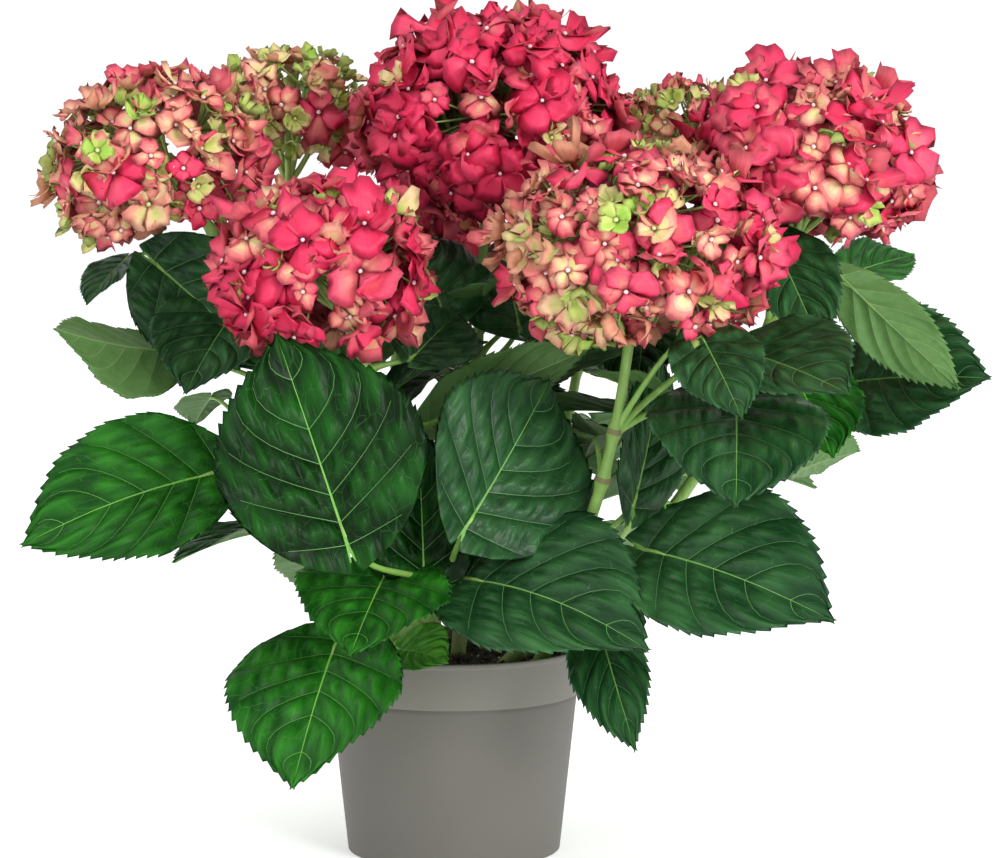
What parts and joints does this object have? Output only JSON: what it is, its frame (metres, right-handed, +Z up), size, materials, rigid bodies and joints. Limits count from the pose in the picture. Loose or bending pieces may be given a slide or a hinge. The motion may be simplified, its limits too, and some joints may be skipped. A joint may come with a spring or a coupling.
{
  "type": "potted hydrangea",
  "caption": "Mophead hydrangea in full flower, with broad toothed leaves on bare stems, growing in a round plastic nursery pot.",
  "frame": {"origin": "centre of the pot's flat underside", "axes": "+Z up along the pot's axis, -Y towards the plant's front, +X to the plant's right as seen from the front"},
  "size_m": [0.5036, 0.4063, 0.4554],
  "materials": {
    "pot": "matt taupe grey plastic",
    "soil": "moist peat and bark fibre",
    "stem": "pale green bark",
    "leaf": "satin green leaf",
    "bloom": "matt crimson, rose, peach and lime sepals"
  },
  "bodies": {
    "root": {"pot": "pot", "soil": "soil", "stem_left": "stem", "foliage_left": "leaf", "bloom_left": "bloom", "stem_left_back": "stem", "foliage_left_back": "leaf", "bloom_left_back": "bloom", "stem_centre": "stem", "foliage_centre": "leaf", "bloom_centre": "bloom", "stem_right_back": "stem", "foliage_right_back": "leaf", "bloom_right_back": "bloom", "stem_right": "stem", "foliage_right": "leaf", "bloom_right": "bloom", "stem_front_left": "stem", "foliage_front_left": "leaf", "bloom_front_left": "bloom", "stem_front_right": "stem", "foliage_front_right": "leaf", "bloom_front_right": "bloom", "stem_back_left": "stem", "foliage_back_left": "leaf", "bloom_back_left": "bloom", "stem_back_right": "stem", "foliage_back_right": "leaf", "bloom_back_right": "bloom", "stem_low_back": "stem", "foliage_low_back": "leaf", "stem_low_side": "stem", "foliage_low_side": "leaf", "stem_low_front": "stem", "foliage_low_front": "leaf", "stem_low_left": "stem", "foliage_low_left": "leaf", "stem_low_right": "stem", "foliage_low_right": "leaf"}
  },
  "joints": []
}
